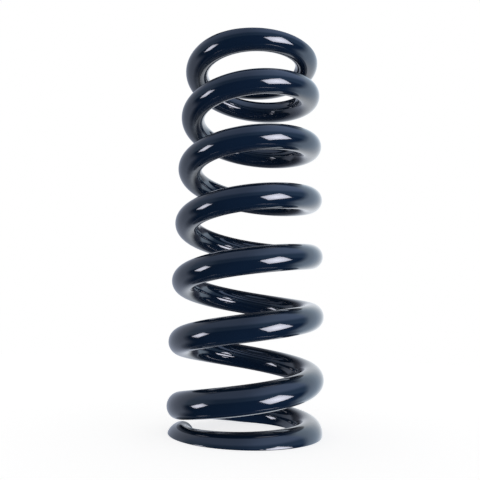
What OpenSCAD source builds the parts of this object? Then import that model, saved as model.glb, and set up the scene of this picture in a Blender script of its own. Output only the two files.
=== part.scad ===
// Coilover spring: one steel wire wound into a compression spring, closed and ground flat at both ends.
// It stands on its lower ground end, with the coil's axis along +Z.

/* [Spring] */
// Free length between the two ground ends, in mm
free_length = 254; // [200:1:320]
// Diameter of the wire, in mm
wire_d = 16.2; // [11:0.1:17]
// Clear bore inside the coils of the body, in mm
body_bore = 67.6; // [64:0.1:74]
// Clear bore inside the end coils, which centre on the spring seats, in mm
end_bore = 63.5; // [58:0.1:66]
// Turns of wire from tip to tip
total_turns = 7.84; // [6:0.01:9]

/* [Ends] */
// Turns at each end that are wound closed before the pitch starts to open
closed_turns = 0.24; // [0.1:0.01:0.9]
// Turns over which the pitch opens from closed to full
opening_turns = 1.04; // [0.3:0.01:1.3]
// Gap between a tip and the coil that it closes on, in mm
tip_gap = 1.2; // [0.5:0.1:4]
// Thickness of wire left at each tip by the grinding, in mm
tip_thickness = 5; // [2:0.1:8]
// Turns over which each end coil widens to the bore of the body
widening_turns = 2.2; // [0.8:0.1:3]
// Direction of the lower tip about the axis, in degrees from +X
tip_angle = 171; // [0:1:359]

/* [Fineness] */
// Flat sides round the wire
wire_sides = 18; // [12:1:18]
// Steps of the sweep in each turn
turn_steps = 40; // [32:1:40]

/* [Hidden] */

wire_r = wire_d / 2;
body_radius = (body_bore + wire_d) / 2;
end_radius = (end_bore + wire_d) / 2;

// Rise from tip to tip: grinding leaves the tips thinner than the wire
tip_height = tip_thickness - wire_r;
total_rise = free_length - 2 * tip_height;

// The closed pitch sets the tip gap after one turn, and the open pitch makes up the free length
first_rise = wire_d + tip_gap;
opened_in_first = opening_turns * ease_area((1 - closed_turns) / opening_turns);
closed_share = (2 * closed_turns + opening_turns) / (1 - opened_in_first);
open_pitch = (total_rise - closed_share * first_rise) / (total_turns - closed_share);
closed_pitch = (first_rise - open_pitch * opened_in_first) / (1 - opened_in_first);

sweep_steps = round(total_turns * turn_steps);
stock_width = 2 * (body_radius + wire_d);

// Smooth step from 0 to 1
function ease(u) = let(v = min(max(u, 0), 1)) v * v * (3 - 2 * v);

// Area under that step from 0 to u
function ease_area(u) = u <= 0 ? 0 : u < 1 ? pow(u, 3) - pow(u, 4) / 2 : u - 1 / 2;

// Turn at which the pitch starts to close again towards the upper end
function closing_turn() = total_turns - closed_turns - opening_turns;

// Rise of the wire in one turn, at turn t from the lower tip
function pitch_at(t) =
    closed_pitch + (open_pitch - closed_pitch)
    * (ease((t - closed_turns) / opening_turns) - ease((t - closing_turn()) / opening_turns));

// Height of the wire's centre line at turn t
function height_at(t) =
    tip_height + closed_pitch * t + (open_pitch - closed_pitch) * opening_turns
    * (ease_area((t - closed_turns) / opening_turns) - ease_area((t - closing_turn()) / opening_turns));

// Radius of the coil at turn t: drawn in at both ends, full along the body
function radius_at(t) =
    body_radius - (body_radius - end_radius)
    * (2 - ease(t / widening_turns) - ease((total_turns - t) / widening_turns));

// Points of the wire's round section at turn t, square to the helix
function section(t) =
    let(
        turn = tip_angle + 360 * t,
        lead = atan(pitch_at(t) / (2 * PI * radius_at(t))),
        out = [cos(turn), sin(turn), 0],
        up = [sin(turn) * sin(lead), -cos(turn) * sin(lead), cos(lead)],
        centre = radius_at(t) * out + [0, 0, height_at(t)]
    )
    [for (k = [0 : wire_sides - 1])
        let(a = 360 * k / wire_sides) centre + wire_r * (cos(a) * out + sin(a) * up)];

// The wire as wound and cut square, before grinding
module wound_wire() {
    points = [for (i = [0 : sweep_steps]) each section(total_turns * i / sweep_steps)];
    last = sweep_steps * wire_sides;
    sides = [
        for (i = [0 : sweep_steps - 1], k = [0 : wire_sides - 1])
            let(
                a = i * wire_sides + k,
                b = i * wire_sides + (k + 1) % wire_sides
            )
            each [[a, a + wire_sides, b], [b, a + wire_sides, b + wire_sides]]
    ];
    lower_cut = [for (k = [0 : wire_sides - 1]) k];
    upper_cut = [for (k = [wire_sides - 1 : -1 : 0]) last + k];
    polyhedron(points, concat(sides, [lower_cut, upper_cut]));
}

// The finished spring: grinding takes off what stands past the free length at either end
module coil() {
    color("#14233c")
    intersection() {
        wound_wire();
        translate([-stock_width / 2, -stock_width / 2, 0])
            cube([stock_width, stock_width, free_length]);
    }
}

coil();
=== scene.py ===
"""Looks of a coilover spring: one steel wire, wound and ground flat, under a gloss navy coat."""

import logging
import math
from collections.abc import Mapping, Sequence
from dataclasses import dataclass, field
from enum import Enum
from typing import Any

import bmesh
import bpy
from mathutils import Matrix, Vector


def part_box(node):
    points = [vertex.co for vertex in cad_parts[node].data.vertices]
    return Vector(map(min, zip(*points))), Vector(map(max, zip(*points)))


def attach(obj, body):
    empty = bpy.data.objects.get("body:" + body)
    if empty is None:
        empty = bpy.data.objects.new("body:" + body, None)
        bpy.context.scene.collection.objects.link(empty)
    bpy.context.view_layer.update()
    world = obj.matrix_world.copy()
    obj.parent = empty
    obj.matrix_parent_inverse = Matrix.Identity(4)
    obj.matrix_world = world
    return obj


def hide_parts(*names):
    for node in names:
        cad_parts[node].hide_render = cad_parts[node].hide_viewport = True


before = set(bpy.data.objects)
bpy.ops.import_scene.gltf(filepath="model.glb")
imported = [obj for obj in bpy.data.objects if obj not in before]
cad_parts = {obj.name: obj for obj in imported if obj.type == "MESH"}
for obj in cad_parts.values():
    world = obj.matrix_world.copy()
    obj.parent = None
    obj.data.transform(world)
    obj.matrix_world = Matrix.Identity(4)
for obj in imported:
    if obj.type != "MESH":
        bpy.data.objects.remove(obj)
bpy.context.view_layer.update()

log = logging.getLogger("coilover_spring")

MM = 0.001
QUARTER_TURN = 90.0

# The sRGB transfer curve: a straight foot up to the knee, and a power above it
SRGB_KNEE, SRGB_SLOPE, SRGB_OFFSET, SRGB_GAMMA = 0.04045, 12.92, 0.055, 2.4

# A Mix node's colour sockets share their names with its other sockets, so they go by index
MIX_SHARE, MIX_FIRST, MIX_SECOND, MIX_COLOUR = 0, 6, 7, 2

# A grid's size is half its side, and this gives a sheet of 1 by 1
UNIT_SHEET = 0.5

# Corners of the faces along the wire, at most
WIRE_FACE_CORNERS = 4

Span = tuple[float, float]


class Ray(Enum):
    """Kinds of light path that the studio tells apart, by their names on the Light Path node."""

    CAMERA = "Is Camera Ray"
    GLOSSY = "Is Glossy Ray"
    TRANSMISSION = "Is Transmission Ray"


class Axis(Enum):
    """Parts of a place or a direction, by their names on the Separate XYZ node."""

    RIGHT = "X"
    BACK = "Y"
    UP = "Z"


class End(Enum):
    """The spring's two ground ends, by the way that each faces along the axis."""

    LOWER = -1
    UPPER = 1


def linear(hex_colour: str) -> tuple[float, float, float, float]:
    """Turns an sRGB hex colour to linear light.

    Args:
        hex_colour: six hex digits after a hash mark.

    Returns:
        Red, green, blue and an alpha of 1.
    """
    shares = [int(hex_colour[i : i + 2], 16) / 255 for i in (1, 3, 5)]
    red, green, blue = (
        share / SRGB_SLOPE
        if share <= SRGB_KNEE
        else ((share + SRGB_OFFSET) / (1 + SRGB_OFFSET)) ** SRGB_GAMMA
        for share in shares
    )
    return red, green, blue, 1.0


def per_metre(size_mm: float) -> float:
    """Scale of a pattern on Object coordinates whose features are size_mm across."""
    return 1.0 / (size_mm * MM)


def bare_tree(
    owner: bpy.types.Material | bpy.types.World | bpy.types.Light,
) -> bpy.types.NodeTree:
    """Switches nodes on and takes out the ones that are there at first.

    Args:
        owner: a material, world or lamp.

    Returns:
        Its node tree, empty.
    """
    owner.use_nodes = True
    owner.node_tree.nodes.clear()
    return owner.node_tree


def add_node(
    tree: bpy.types.NodeTree,
    kind: str,
    settings: Mapping[str, Any] | None = None,
    inputs: Mapping[str | int, Any] | None = None,
) -> bpy.types.Node:
    """Adds a node with its settings and links.

    Args:
        tree: the node tree to add to.
        kind: the node's type name.
        settings: attributes of the node, by name.
        inputs: a value or another node's output for each input, by name or index.

    Returns:
        The new node.
    """
    node = tree.nodes.new(kind)
    for name, value in (settings or {}).items():
        setattr(node, name, value)
    for socket, value in (inputs or {}).items():
        if isinstance(value, bpy.types.NodeSocket):
            tree.links.new(value, node.inputs[socket])
        else:
            node.inputs[socket].default_value = value
    return node


def overlap(
    tree: bpy.types.NodeTree, steps: Sequence[tuple[bpy.types.NodeSocket, Span]]
) -> bpy.types.NodeSocket:
    """Adds a share that is 1 where two smooth steps both are, and fades out with either.

    Args:
        tree: the node tree to add to.
        steps: for each step, the output that it follows and the values that make it 0 and 1.

    Returns:
        The output of the share.
    """
    shares = [
        add_node(
            tree,
            "ShaderNodeMapRange",
            {"interpolation_type": "SMOOTHSTEP"},
            {"Value": value, "From Min": start, "From Max": end},
        ).outputs["Result"]
        for value, (start, end) in steps
    ]
    both = add_node(tree, "ShaderNodeMath", {"operation": "MULTIPLY"}, dict(enumerate(shares)))
    return both.outputs[0]


def direction(azimuth: float, elevation: float) -> Vector:
    """Unit vector from the object.

    Args:
        azimuth: degrees from -Y, the camera's side, towards +X.
        elevation: degrees above the horizon.

    Returns:
        The direction as a unit vector.
    """
    turn, rise = math.radians(azimuth), math.radians(elevation)
    level = math.cos(rise)
    return Vector((math.sin(turn) * level, -math.cos(turn) * level, math.sin(rise)))


def link(obj: bpy.types.Object) -> bpy.types.Object:
    """Puts a new object in the scene and returns it."""
    bpy.context.scene.collection.objects.link(obj)
    return obj


def place_mesh(name: str, mesh: bmesh.types.BMesh) -> bpy.types.Object:
    """Makes a finished mesh an object at the origin, and frees the mesh.

    Args:
        name: the object's name.
        mesh: the mesh, with its place in its vertices.

    Returns:
        The object, in the scene.
    """
    data = bpy.data.meshes.new(name)
    mesh.to_mesh(data)
    mesh.free()
    return link(bpy.data.objects.new(name, data))


@dataclass(frozen=True)
class NavyPowderCoat:
    """Gloss navy powder coat, baked on shot-peened spring steel.

    A clear, hard gloss gives sharp reflections, which the coat's orange peel makes a little ragged.
    The peened steel under it softens the light that comes through the colour, which is a little
    lighter where the coat is thin.
    Sizes are in millimetres. Real peening marks are about 0.5 mm across, too fine to show, so
    dimple_size is coarser.
    """

    name: str = "navy_powder_coat_on_peened_steel"
    thick_colour: str = "#0d1a2a"
    thin_colour: str = "#112237"
    cloud_size: float = 28.0
    cloud_detail: float = 3.0
    peel_size: float = 4.2
    peel_depth: float = 0.030
    peel_detail: float = 0.6
    peel_roughness: float = 0.4
    dimple_size: float = 2.2
    dimple_depth: float = 0.003
    dimple_smoothness: float = 0.6
    colour_roughness: Span = (0.07, 0.11)
    colour_ior: float = 1.5
    gloss_roughness: float = 0.035
    gloss_ior: float = 1.55

    def material(self) -> bpy.types.Material:
        """Builds the coat's node material.

        Returns:
            A material on Object coordinates.
        """
        made = bpy.data.materials.new(self.name)
        tree = bare_tree(made)
        place = add_node(tree, "ShaderNodeTexCoord").outputs["Object"]
        cloud = add_node(
            tree,
            "ShaderNodeTexNoise",
            inputs={
                "Vector": place,
                "Scale": per_metre(self.cloud_size),
                "Detail": self.cloud_detail,
            },
        ).outputs["Fac"]
        colour = add_node(
            tree,
            "ShaderNodeMix",
            {"data_type": "RGBA"},
            {
                MIX_SHARE: cloud,
                MIX_FIRST: linear(self.thick_colour),
                MIX_SECOND: linear(self.thin_colour),
            },
        )
        smoothest, roughest = self.colour_roughness
        softness = add_node(
            tree,
            "ShaderNodeMapRange",
            inputs={"Value": cloud, "To Min": smoothest, "To Max": roughest},
        )
        peel = add_node(
            tree,
            "ShaderNodeTexNoise",
            inputs={
                "Vector": place,
                "Scale": per_metre(self.peel_size),
                "Detail": self.peel_detail,
                "Roughness": self.peel_roughness,
            },
        )
        gloss_relief = add_node(
            tree,
            "ShaderNodeBump",
            inputs={
                "Strength": 1.0,
                "Distance": self.peel_depth * MM,
                "Height": peel.outputs["Fac"],
            },
        ).outputs["Normal"]
        dimples = add_node(
            tree,
            "ShaderNodeTexVoronoi",
            {"feature": "SMOOTH_F1"},
            {
                "Vector": place,
                "Scale": per_metre(self.dimple_size),
                "Smoothness": self.dimple_smoothness,
            },
        )
        steel_relief = add_node(
            tree,
            "ShaderNodeBump",
            inputs={
                "Strength": 1.0,
                "Distance": self.dimple_depth * MM,
                "Height": dimples.outputs["Distance"],
                "Normal": gloss_relief,
            },
        )
        shader = add_node(
            tree,
            "ShaderNodeBsdfPrincipled",
            inputs={
                "Base Color": colour.outputs[MIX_COLOUR],
                "Roughness": softness.outputs["Result"],
                "IOR": self.colour_ior,
                "Normal": steel_relief.outputs["Normal"],
                "Coat Weight": 1.0,
                "Coat Roughness": self.gloss_roughness,
                "Coat IOR": self.gloss_ior,
                "Coat Normal": gloss_relief,
            },
        )
        add_node(tree, "ShaderNodeOutputMaterial", inputs={"Surface": shader.outputs["BSDF"]})
        return made


@dataclass
class Coil:
    """The whole spring: a round wire on a helix that closes and draws in at both ends.

    Lengths are in millimetres, angles in degrees, and turns are counted from the lower tip.
    """

    free_length: float
    outer_d: float
    wire_d: float = 16.2
    end_bore: float = 63.5
    total_turns: float = 7.84
    closed_turns: float = 0.24
    opening_turns: float = 1.04
    tip_gap: float = 1.2
    tip_thickness: float = 5.0
    widening_turns: float = 2.2
    tip_angle: float = 171.0
    edge_round: float = 0.5
    edge_segments: int = 3
    sharp_angle: float = 25.0
    sliver: float = 0.75
    seam_gap: float = 0.01
    cut_tolerance: float = 0.001
    wire_sides: int = 48
    turn_steps: int = 160
    finish: NavyPowderCoat = NavyPowderCoat()

    wire_r: float = field(init=False)
    body_radius: float = field(init=False)
    end_radius: float = field(init=False)
    tip_height: float = field(init=False)
    closing_turn: float = field(init=False)
    open_pitch: float = field(init=False)
    closed_pitch: float = field(init=False)

    @classmethod
    def from_frame(cls, node: str) -> "Coil":
        """Takes the free length and the outer diameter from a CAD node.

        Args:
            node: name of the coil's node.

        Returns:
            A coil that fills that node's box.
        """
        low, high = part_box(node)
        return cls(free_length=(high.z - low.z) / MM, outer_d=(high.x - low.x) / MM)

    def __post_init__(self) -> None:
        """Works out the radii and the two pitches that give the free length."""
        self.wire_r = self.wire_d / 2
        self.body_radius = (self.outer_d - self.wire_d) / 2
        self.end_radius = (self.end_bore + self.wire_d) / 2
        self.tip_height = self.tip_thickness - self.wire_r
        self.closing_turn = self.total_turns - self.closed_turns - self.opening_turns
        first_rise = self.wire_d + self.tip_gap
        first_share = (1 - self.closed_turns) / self.opening_turns
        opened_in_first = self.opening_turns * self.ease_area(first_share)
        closed_in_first = 1 - opened_in_first
        closed_share = (2 * self.closed_turns + self.opening_turns) / closed_in_first
        total_rise = self.free_length - 2 * self.tip_height
        open_turns = self.total_turns - closed_share
        self.open_pitch = (total_rise - closed_share * first_rise) / open_turns
        self.closed_pitch = (first_rise - self.open_pitch * opened_in_first) / closed_in_first

    @staticmethod
    def ease(share: float) -> float:
        """Smooth step from 0 to 1."""
        held = min(max(share, 0.0), 1.0)
        return held * held * (3 - 2 * held)

    @staticmethod
    def ease_area(share: float) -> float:
        """Area under the smooth step.

        Args:
            share: how far along the step, past which it stays at 1.

        Returns:
            The area from 0 to share.
        """
        if share <= 0:
            return 0.0
        return share**3 - share**4 / 2 if share < 1 else share - 0.5

    def opened(self, turn: float) -> float:
        """Share of the full pitch that the wire has opened to at a turn."""
        opening = self.ease((turn - self.closed_turns) / self.opening_turns)
        return opening - self.ease((turn - self.closing_turn) / self.opening_turns)

    def pitch_at(self, turn: float) -> float:
        """Rise of the wire in one turn, at a turn from the lower tip."""
        return self.closed_pitch + (self.open_pitch - self.closed_pitch) * self.opened(turn)

    def height_at(self, turn: float) -> float:
        """Height of the wire's centre line at a turn from the lower tip.

        Args:
            turn: turns from the lower tip.

        Returns:
            The height above the lower ground face.
        """
        opening = self.ease_area((turn - self.closed_turns) / self.opening_turns)
        closing = self.ease_area((turn - self.closing_turn) / self.opening_turns)
        extra = (self.open_pitch - self.closed_pitch) * self.opening_turns * (opening - closing)
        return self.tip_height + self.closed_pitch * turn + extra

    def radius_at(self, turn: float) -> float:
        """Radius of the coil's centre line: drawn in at both ends, full along the body.

        Args:
            turn: turns from the lower tip.

        Returns:
            The radius from the spring's axis.
        """
        lower = self.ease(turn / self.widening_turns)
        upper = self.ease((self.total_turns - turn) / self.widening_turns)
        return self.body_radius - (self.body_radius - self.end_radius) * (2 - lower - upper)

    def section_at(self, turn: float) -> Matrix:
        """Place of the wire's round section, square to the helix.

        Args:
            turn: turns from the lower tip.

        Returns:
            A matrix whose axes point outwards, upwards and along the wire, in metres.
        """
        angle = math.radians(self.tip_angle) + math.tau * turn
        radius = self.radius_at(turn)
        lead = math.atan(self.pitch_at(turn) / (math.tau * radius))
        level = math.cos(lead)
        out = Vector((math.cos(angle), math.sin(angle), 0.0))
        along = Vector((-math.sin(angle) * level, math.cos(angle) * level, math.sin(lead)))
        place = Matrix((out, along.cross(out), along)).transposed().to_4x4()
        place.translation = (radius * out + Vector((0.0, 0.0, self.height_at(turn)))) * MM
        return place

    def wind(self, mesh: bmesh.types.BMesh) -> None:
        """Rolls a sheet into a tube, winds it on the helix and closes its two square-cut ends.

        Args:
            mesh: an empty mesh, which gets the wire as wound.
        """
        steps = round(self.total_turns * self.turn_steps)
        # The sheet has a corner at the origin: x runs along the wire and y goes round it
        bmesh.ops.create_grid(
            mesh,
            x_segments=steps,
            y_segments=self.wire_sides,
            size=UNIT_SHEET,
            matrix=Matrix.Translation((UNIT_SHEET, UNIT_SHEET, 0.0)),
        )
        sections = [self.section_at(self.total_turns * i / steps) for i in range(steps + 1)]
        for vert in mesh.verts:
            around = math.tau * vert.co.y
            on_section = Vector((math.cos(around), math.sin(around), 0.0)) * self.wire_r * MM
            vert.co = sections[round(vert.co.x * steps)] @ on_section
        bmesh.ops.remove_doubles(mesh, verts=mesh.verts, dist=self.seam_gap * MM)
        self.close(mesh)

    @staticmethod
    def close(mesh: bmesh.types.BMesh) -> None:
        """Closes every open rim of a mesh with a flat face."""
        bmesh.ops.holes_fill(mesh, edges=[edge for edge in mesh.edges if edge.is_boundary])

    def grind(self, mesh: bmesh.types.BMesh, end: End) -> None:
        """Grinds an end flat: cuts the wire off square to the axis and closes the cut.

        Args:
            mesh: the wire as wound.
            end: which end to grind.
        """
        height = self.free_length * MM if end is End.UPPER else 0.0
        cut = bmesh.ops.bisect_plane(
            mesh,
            geom=[*mesh.verts, *mesh.edges, *mesh.faces],
            dist=self.cut_tolerance * MM,
            plane_co=(0.0, 0.0, height),
            plane_no=(0.0, 0.0, end.value),
            clear_outer=True,
        )["geom_cut"]
        rim = {part for part in cut if isinstance(part, bmesh.types.BMVert)}
        bmesh.ops.weld_verts(mesh, targetmap=self.slivers(rim))
        left = [vert for vert in rim if vert.is_valid]
        bmesh.ops.remove_doubles(mesh, verts=left, dist=self.sliver * MM / 2)
        self.close(mesh)

    def slivers(
        self, rim: set[bmesh.types.BMVert]
    ) -> dict[bmesh.types.BMVert, bmesh.types.BMVert]:
        """Finds the vertices that stand too close to a cut to leave room for a rounded edge.

        Args:
            rim: the vertices on the cut.

        Returns:
            The nearest vertex on the cut for each of them.
        """
        shortest = self.sliver * MM
        at_rim = {edge for vert in rim for edge in vert.link_edges}
        short = [edge for edge in at_rim if edge.calc_length() < shortest]
        nearest: dict[bmesh.types.BMVert, bmesh.types.BMVert] = {}
        for edge in sorted(short, key=lambda edge: -edge.calc_length()):
            for vert in edge.verts:
                if vert not in rim:
                    nearest[vert] = edge.other_vert(vert)
        return nearest

    def round_edges(self, mesh: bmesh.types.BMesh) -> None:
        """Rounds the edges of the ground faces and the tips, as the coat does when it is baked.

        Args:
            mesh: the ground wire.
        """
        sharpest = math.radians(self.sharp_angle)
        bmesh.ops.bevel(
            mesh,
            geom=[edge for edge in mesh.edges if edge.calc_face_angle() > sharpest],
            offset=self.edge_round * MM,
            offset_type="OFFSET",
            segments=self.edge_segments,
            profile=0.5,
            affect="EDGES",
            clamp_overlap=False,
            material=-1,
        )

    def build(self) -> bpy.types.Object:
        """Models the coil.

        Returns:
            The coil's object, at the origin, with its place in its mesh.
        """
        mesh = bmesh.new()
        self.wind(mesh)
        for end in End:
            self.grind(mesh, end)
        bmesh.ops.recalc_face_normals(mesh, faces=mesh.faces)
        self.round_edges(mesh)
        # The ground faces and the tips' cuts have many corners, and stay flat
        for face in mesh.faces:
            face.smooth = len(face.verts) <= WIRE_FACE_CORNERS
        return place_mesh("wound_coil", mesh)

    def dress(self, piece: bpy.types.Object) -> None:
        """Gives the coil its coat and its place in the frame.

        Args:
            piece: the coil's object.
        """
        piece.data.materials.append(self.finish.material())
        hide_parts("coil")
        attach(piece, "root")


@dataclass(frozen=True)
class SoftBox:
    """A softbox, hung askew and aimed at the middle of the spring.

    It is brighter in its middle than at its corners. Angles are in degrees, lengths in metres, and
    a radiance of 1 is white.
    """

    name: str
    azimuth: float
    elevation: float
    distance: float
    width: float
    height: float
    hang: float
    radiance: float
    colour: str = "#f0f1ff"
    corner_share: float = 0.45

    def light(self, target: Vector) -> None:
        """Puts the softbox in the scene.

        Args:
            target: the point that it is aimed at.
        """
        lamp = bpy.data.lights.new(self.name, "AREA")
        lamp.shape = "RECTANGLE"
        lamp.size = self.width
        lamp.size_y = self.height
        lamp.color = linear(self.colour)[:3]
        lamp.energy = self.radiance * math.pi * self.width * self.height
        away = direction(self.azimuth, self.elevation)
        aim = away.to_track_quat("Z", "Y").to_matrix().to_4x4()
        hung = Matrix.Rotation(math.radians(self.hang), 4, "Z")
        middle = target + away * self.distance
        stand = link(bpy.data.objects.new(self.name, lamp))
        stand.matrix_world = Matrix.Translation(middle) @ aim @ hung
        tree = bare_tree(lamp)
        place = add_node(tree, "ShaderNodeNewGeometry").outputs["Position"]
        off_middle = add_node(
            tree, "ShaderNodeVectorMath", {"operation": "DISTANCE"}, {0: place, 1: middle}
        )
        strength = add_node(
            tree,
            "ShaderNodeMapRange",
            inputs={
                "Value": off_middle.outputs["Value"],
                "From Min": 0.0,
                "From Max": math.hypot(self.width, self.height) / 2,
                "To Min": 1.0,
                "To Max": self.corner_share,
            },
        )
        glow = add_node(
            tree, "ShaderNodeEmission", inputs={"Strength": strength.outputs["Result"]}
        )
        add_node(tree, "ShaderNodeOutputLight", inputs={"Surface": glow.outputs[0]})


@dataclass(frozen=True)
class Fade:
    """A soft change from one colour to another, either of which may be a fade itself.

    It follows one part of the direction that a ray looks in. Its start and end are between -1
    and 1, as that part is.
    """

    axis: Axis
    start: float
    end: float
    first: "str | Fade"
    second: "str | Fade"

    def colour(
        self, tree: bpy.types.NodeTree, seen: Mapping[str, bpy.types.NodeSocket]
    ) -> bpy.types.NodeSocket:
        """Adds the nodes of the fade and of those in it.

        Args:
            tree: the node tree to add to.
            seen: the outputs that give the parts of the direction, by name.

        Returns:
            The output of the fade's colour.
        """
        first, second = (
            side.colour(tree, seen) if isinstance(side, Fade) else linear(side)
            for side in (self.first, self.second)
        )
        step = add_node(
            tree,
            "ShaderNodeMapRange",
            {"interpolation_type": "SMOOTHSTEP"},
            {"Value": seen[self.axis.value], "From Min": self.start, "From Max": self.end},
        )
        mix = add_node(
            tree,
            "ShaderNodeMix",
            {"data_type": "RGBA"},
            {MIX_SHARE: step.outputs["Result"], MIX_FIRST: first, MIX_SECOND: second},
        )
        return mix.outputs[MIX_COLOUR]


@dataclass(frozen=True)
class Surroundings:
    """What lies round the spring: a sweep for the camera, and a room that the coat mirrors.

    The sweep is white behind the spring and pale elsewhere. The room is dark in front, with a
    bluish haze above the horizon and a paler ceiling, both brighter to the right, and has a white
    wall behind, dimmer to the left. Matt surfaces are lit by even daylight.
    """

    daylight: str = "#959595"
    sweep: Fade = Fade(Axis.BACK, 0.2, 0.6, "#dfe1e3", "#ffffff")
    dark: str = "#050608"
    haze: Fade = Fade(
        Axis.RIGHT, -0.65, -0.95, Fade(Axis.RIGHT, -0.2, 0.5, "#4a5866", "#637a92"), "#7a8a9c"
    )
    ceiling: Fade = Fade(Axis.RIGHT, -0.2, 0.5, "#8d9cb8", "#b6cdf6")
    wall: Fade = Fade(
        Axis.RIGHT, -0.35, 0.35, "#9da5b6", Fade(Axis.BACK, 0.5, 1.0, "#d7ebff", "#f4f9ff")
    )
    haze_rise: Span = (-0.2, 0.05)
    ceiling_rise: Span = (0.24, 0.6)
    wall_foot: Span = (-0.78, -0.5)
    wall_top: Span = (0.7, 0.88)
    front_to_back: Span = (-0.05, 0.28)

    def room(self) -> Fade:
        """Puts the room together, from its front to the wall behind.

        Returns:
            The room's colour in every direction.
        """
        horizon = Fade(Axis.UP, *self.haze_rise, self.dark, self.haze)
        front = Fade(Axis.UP, *self.ceiling_rise, horizon, self.ceiling)
        foot = Fade(Axis.UP, *self.wall_foot, self.dark, self.wall)
        back = Fade(Axis.UP, *self.wall_top, foot, self.dark)
        return Fade(Axis.BACK, *self.front_to_back, front, back)

    def build(self) -> None:
        """Makes the scene's world, which tells the camera's rays from mirrored ones."""
        world = bpy.data.worlds.new("studio")
        bpy.context.scene.world = world
        tree = bare_tree(world)
        path = add_node(tree, "ShaderNodeLightPath").outputs
        facing = add_node(tree, "ShaderNodeTexCoord").outputs["Generated"]
        seen = add_node(tree, "ShaderNodeSeparateXYZ", inputs={0: facing}).outputs
        mirrored = add_node(
            tree,
            "ShaderNodeMath",
            {"operation": "ADD", "use_clamp": True},
            {0: path[Ray.GLOSSY.value], 1: path[Ray.TRANSMISSION.value]},
        )
        unseen = add_node(
            tree,
            "ShaderNodeMix",
            {"data_type": "RGBA"},
            {
                MIX_SHARE: mirrored.outputs[0],
                MIX_FIRST: linear(self.daylight),
                MIX_SECOND: self.room().colour(tree, seen),
            },
        )
        colour = add_node(
            tree,
            "ShaderNodeMix",
            {"data_type": "RGBA"},
            {
                MIX_SHARE: path[Ray.CAMERA.value],
                MIX_FIRST: unseen.outputs[MIX_COLOUR],
                MIX_SECOND: self.sweep.colour(tree, seen),
            },
        )
        sky = add_node(
            tree,
            "ShaderNodeBackground",
            inputs={"Color": colour.outputs[MIX_COLOUR], "Strength": 1.0},
        )
        add_node(tree, "ShaderNodeOutputWorld", inputs={"Surface": sky.outputs[0]})


@dataclass(frozen=True)
class WhitePaper:
    """Matt white background paper, lit from below, which runs into the sweep.

    It has no gloss, so that it shows nothing but the spring's soft shadow. It stays white round the
    spring and to the back, and turns pale over a reach in metres everywhere else.
    """

    name: str = "matt_white_paper"
    white: str = "#f4f4f4"
    pale: str = "#d5d7d9"
    glow: float = 0.82
    pale_reach: Span = (0.15, 0.8)
    pale_turn: Span = (0.6, 0.2)

    def material(self) -> bpy.types.Material:
        """Builds the paper's node material.

        Returns:
            A material on Object coordinates.
        """
        made = bpy.data.materials.new(self.name)
        tree = bare_tree(made)
        place = add_node(tree, "ShaderNodeTexCoord").outputs["Object"]
        parts = add_node(tree, "ShaderNodeSeparateXYZ", inputs={0: place}).outputs
        reach = add_node(
            tree, "ShaderNodeVectorMath", {"operation": "LENGTH"}, {0: place}
        ).outputs["Value"]
        to_back = add_node(
            tree, "ShaderNodeMath", {"operation": "DIVIDE"}, {0: parts[Axis.BACK.value], 1: reach}
        ).outputs[0]
        tone = add_node(
            tree,
            "ShaderNodeMix",
            {"data_type": "RGBA"},
            {
                MIX_SHARE: overlap(tree, [(reach, self.pale_reach), (to_back, self.pale_turn)]),
                MIX_FIRST: linear(self.white),
                MIX_SECOND: linear(self.pale),
            },
        ).outputs[MIX_COLOUR]
        sheet = add_node(tree, "ShaderNodeBsdfDiffuse", inputs={"Color": tone})
        glow = add_node(
            tree, "ShaderNodeEmission", inputs={"Color": tone, "Strength": self.glow}
        )
        lit = add_node(
            tree, "ShaderNodeAddShader", inputs={0: sheet.outputs[0], 1: glow.outputs[0]}
        )
        add_node(tree, "ShaderNodeOutputMaterial", inputs={"Surface": lit.outputs[0]})
        return made


@dataclass(frozen=True)
class Floor:
    """The round pale floor that the spring stands on. Its radius is in metres."""

    radius: float = 1.0
    sides: int = 96
    finish: WhitePaper = WhitePaper()

    def build(self) -> None:
        """Lays the floor, which casts no shadow, so that the low softboxes reach the coat."""
        mesh = bmesh.new()
        bmesh.ops.create_circle(mesh, cap_ends=True, radius=self.radius, segments=self.sides)
        floor = place_mesh("floor", mesh)
        floor.data.materials.append(self.finish.material())
        floor.visible_glossy = False
        floor.visible_diffuse = False
        floor.visible_shadow = False


@dataclass(frozen=True)
class ShadeBoard:
    """Matt grey board of painted shade, which mirrors nothing and fades out to its sides and top,
    with no hard edge.

    It is solid over the given shares of its half width and of its height.
    """

    name: str = "painted_shade_board"
    # The board's grey is painted shade, not a surface of the set
    colour: str = "#6c6f75"
    solid_width: float = 0.25
    solid_height: float = 0.75

    def material(self, width: float, height: float) -> bpy.types.Material:
        """Builds the board's node material.

        Args:
            width: the board's width.
            height: the board's height.

        Returns:
            A material on Object coordinates.
        """
        half = width / 2
        made = bpy.data.materials.new(self.name)
        tree = bare_tree(made)
        place = add_node(tree, "ShaderNodeTexCoord").outputs["Object"]
        parts = add_node(tree, "ShaderNodeSeparateXYZ", inputs={0: place}).outputs
        aside = add_node(
            tree, "ShaderNodeMath", {"operation": "ABSOLUTE"}, {0: parts[Axis.RIGHT.value]}
        ).outputs[0]
        # The painted shade fades out to the board's sides and top, soft like a cast shadow
        solid = overlap(
            tree,
            [
                (aside, (half, half * self.solid_width)),
                (parts[Axis.UP.value], (height, height * self.solid_height)),
            ],
        )
        clear = add_node(tree, "ShaderNodeBsdfTransparent")
        sheet = add_node(tree, "ShaderNodeBsdfDiffuse", inputs={"Color": linear(self.colour)})
        faded = add_node(
            tree,
            "ShaderNodeMixShader",
            inputs={0: solid, 1: clear.outputs[0], 2: sheet.outputs[0]},
        )
        add_node(tree, "ShaderNodeOutputMaterial", inputs={"Surface": faded.outputs[0]})
        return made


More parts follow.
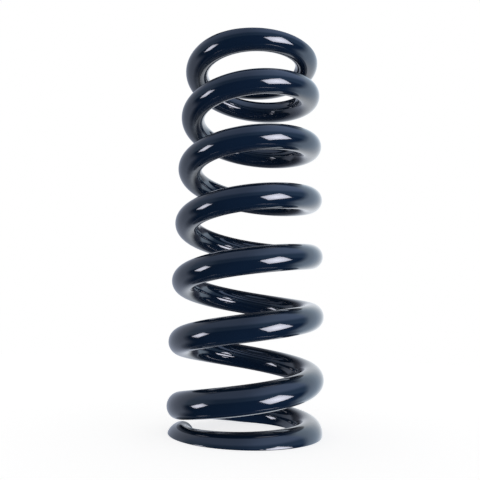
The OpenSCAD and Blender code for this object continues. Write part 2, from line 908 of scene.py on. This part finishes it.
@dataclass(frozen=True)
class ShadeCard:
    """A dark card close behind the spring, darker than the wall: painted shade standing in for the
    spring's own shadow on the surface behind it, seen only in reflections.

    Lengths are in metres.
    """

    width: float = 0.076
    height: float = 0.22
    behind: float = 0.062
    finish: ShadeBoard = ShadeBoard()

    def build(self) -> None:
        """Stands the card upright on the floor, where its painted shade shows only in reflections.
        """
        middle = Matrix.Translation((0.0, self.behind, self.height / 2))
        upright = Matrix.Rotation(math.radians(QUARTER_TURN), 4, "X")
        mesh = bmesh.new()
        bmesh.ops.create_grid(
            mesh,
            x_segments=1,
            y_segments=1,
            size=UNIT_SHEET,
            matrix=middle @ upright @ Matrix.Diagonal((self.width, self.height, 1.0, 1.0)),
        )
        shade_card = place_mesh("painted_shade_card", mesh)
        shade_card.data.materials.append(self.finish.material(self.width, self.height))
        # Painted shade: the card stands where the spring's shadow on the surface behind would be,
        # and shows only in reflections
        shade_card.visible_camera = False
        shade_card.visible_diffuse = False
        shade_card.visible_shadow = False


@dataclass
class Studio:
    """The set: the surroundings, the floor, the card of painted shade, and two softboxes low in
    front.
    """

    target: Vector
    surroundings: Surroundings = Surroundings()
    floor: Floor = Floor()
    shade_card: ShadeCard = ShadeCard()
    softboxes: tuple[SoftBox, ...] = (
        SoftBox(
            "key_softbox",
            azimuth=46.3,
            elevation=-19.5,
            distance=2.5,
            width=1.64,
            height=1.72,
            hang=45.0,
            radiance=10.4,
        ),
        SoftBox(
            "fill_softbox",
            azimuth=-67.2,
            elevation=-15.4,
            distance=1.3,
            width=0.54,
            height=0.38,
            hang=35.0,
            radiance=8.2,
        ),
    )

    def build(self) -> None:
        """Sets up everything round the spring, and the lamps last."""
        self.surroundings.build()
        self.floor.build()
        self.shade_card.build()
        for box in self.softboxes:
            box.light(self.target)
            log.info("lamp %s", box.name)


@dataclass(frozen=True)
class PhotoCamera:
    """The camera of the photograph: low, close and tilted up, with a square frame cropped low.

    Lengths are in millimetres, angles in degrees, and the shift is a share of the frame.
    """

    place: tuple[float, float, float] = (-4.25, -325.91, 59.64)
    tilt_up: float = 13.52
    turn_left: float = 0.32
    roll: float = 1.49
    lens: float = 36.45
    sensor: float = 36.0
    shift_down: float = 0.047
    nearest: float = 10.0

    def build(self) -> None:
        """Makes the camera and gives it to the scene."""
        data = bpy.data.cameras.new("photo_camera")
        data.lens = self.lens
        data.sensor_width = self.sensor
        data.shift_y = -self.shift_down
        data.clip_start = self.nearest * MM
        camera = link(bpy.data.objects.new("photo_camera", data))
        # A camera that isn't turned looks straight down, so a quarter turn makes it level
        turned = Matrix.Rotation(math.radians(self.turn_left), 4, "Z")
        raised = Matrix.Rotation(math.radians(QUARTER_TURN + self.tilt_up), 4, "X")
        rolled = Matrix.Rotation(math.radians(self.roll), 4, "Z")
        stand = Matrix.Translation(Vector(self.place) * MM)
        camera.matrix_world = stand @ turned @ raised @ rolled
        bpy.context.scene.camera = camera


def main() -> None:
    """Builds the spring, its studio and its camera, in that order."""
    logging.basicConfig(level=logging.INFO, format="%(name)s: %(message)s")
    bpy.context.scene.view_settings.view_transform = "Standard"
    coil = Coil.from_frame("coil")
    piece = coil.build()
    coil.dress(piece)
    log.info("piece %s, %d faces", piece.name, len(piece.data.polygons))
    Studio(target=Vector((0.0, 0.0, coil.free_length * MM / 2))).build()
    PhotoCamera().build()


if __name__ == "__main__":
    main()
